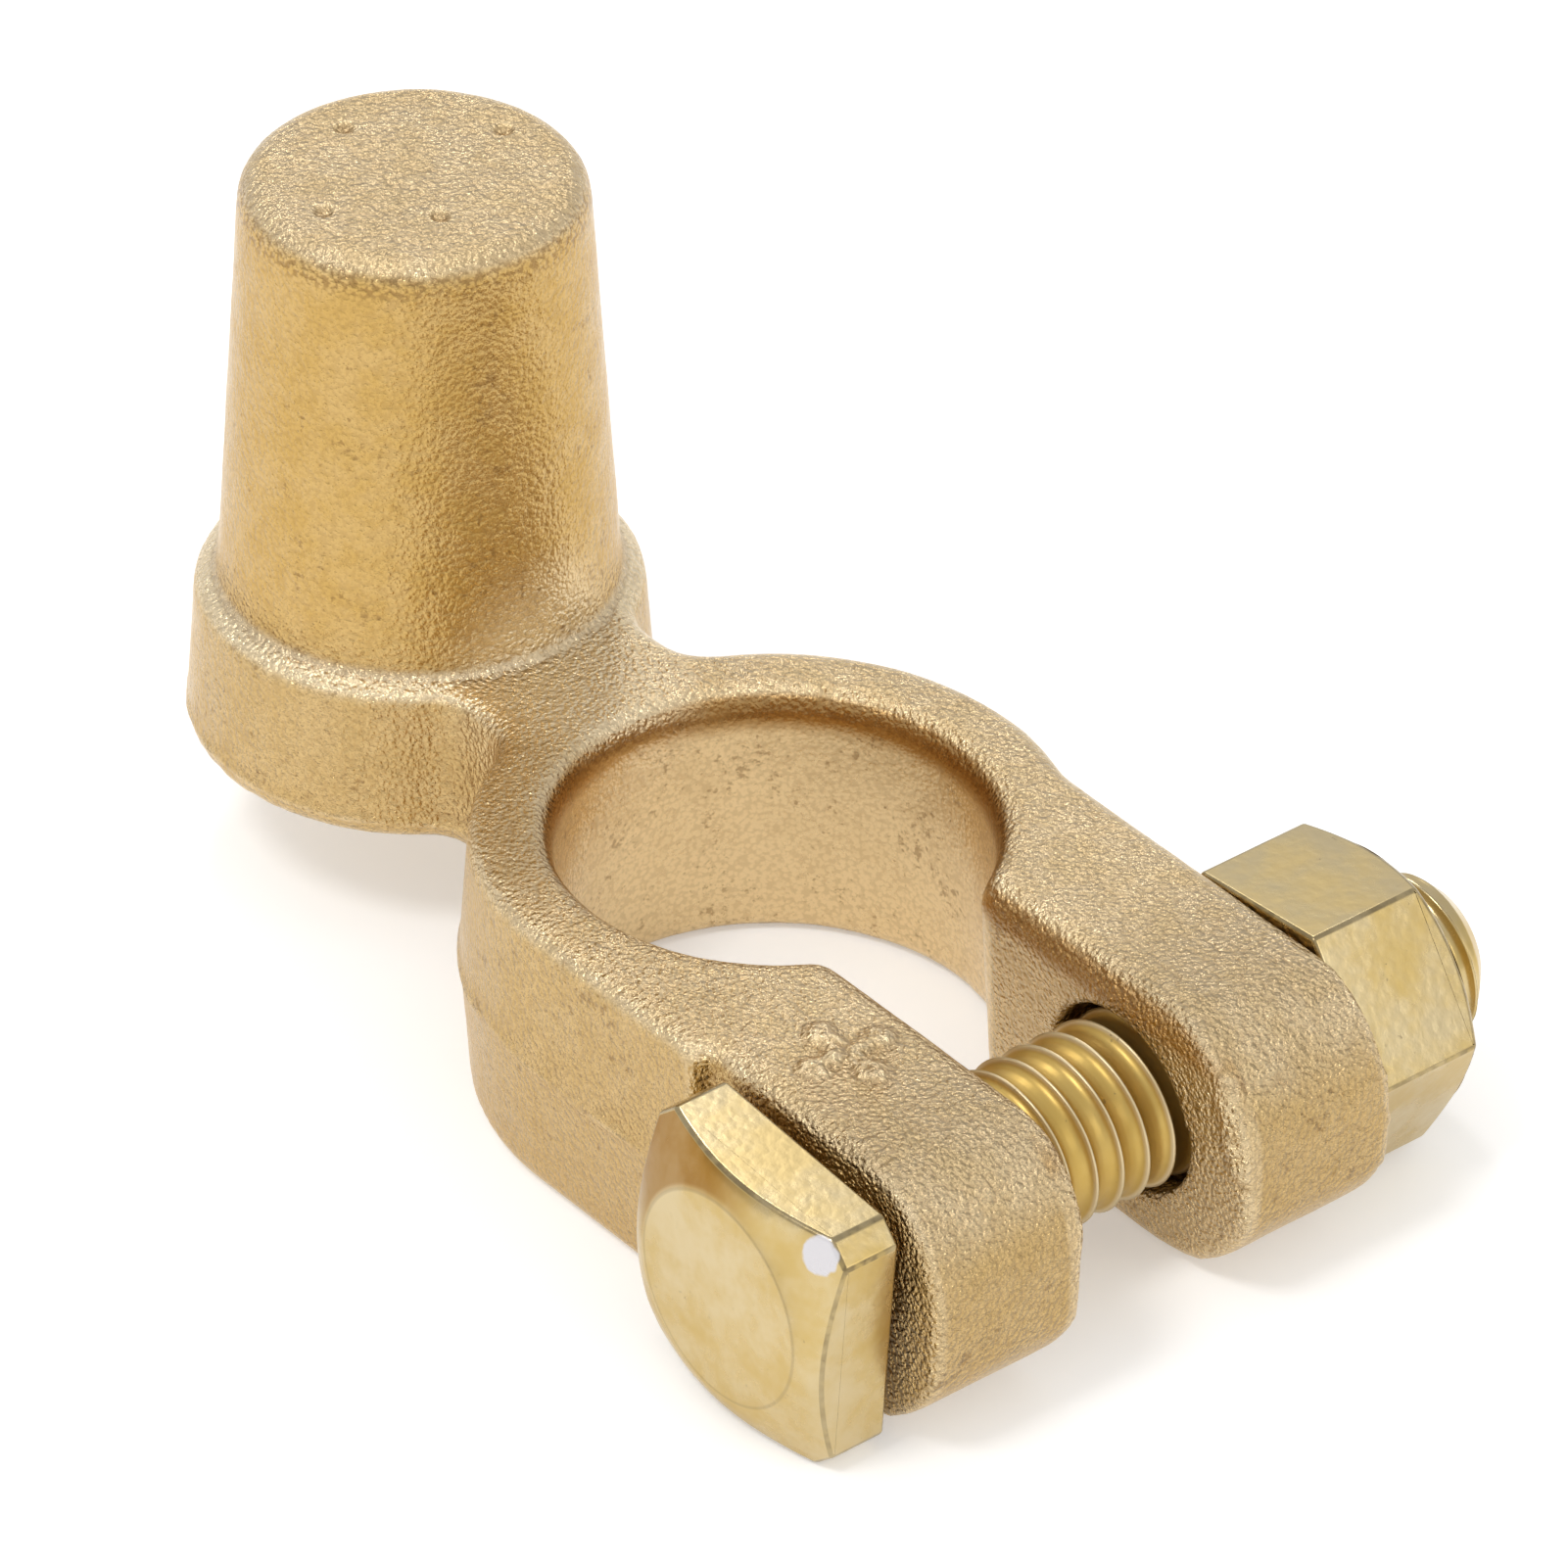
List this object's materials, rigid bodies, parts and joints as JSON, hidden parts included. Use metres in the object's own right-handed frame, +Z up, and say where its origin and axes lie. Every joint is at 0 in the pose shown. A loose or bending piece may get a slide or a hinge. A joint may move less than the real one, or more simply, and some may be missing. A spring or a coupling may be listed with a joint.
{
  "type": "battery terminal clamp",
  "caption": "Forged brass battery terminal clamp: a split ring with a tapered bore, a tapered auxiliary post, and a square-head bolt with a hex nut across its jaws.",
  "frame": {"origin": "on the axis of the ring's bore, at the ring's underside", "axes": "+X runs from the ring to the jaws, +Y from the bolt's head to its nut, +Z up along the auxiliary post"},
  "size_m": [0.0609, 0.0396, 0.0335],
  "materials": {
    "brass": "satin",
    "plating": "semi-gloss"
  },
  "bodies": {
    "clamp": {"clamp_body": "brass"},
    "bolt": {"bolt": "plating"},
    "nut": {"nut": "plating"}
  },
  "joints": [
    {"name": "bolt_slide", "type": "slide", "parent": "clamp", "child": "bolt", "axis": [0, -1, 0], "range_m": [-0.00065, 0.0082]},
    {"name": "nut_spin", "type": "hinge", "parent": "clamp", "child": "nut", "pos_m": [0.0176, 0.0156, 0.0066], "axis": [0, 1, 0], "range_deg": [-170, 2096]}
  ],
  "couplings": [
    {"joint": "nut_spin", "follows": "bolt_slide", "rad_per_m": 4452.7}
  ]
}
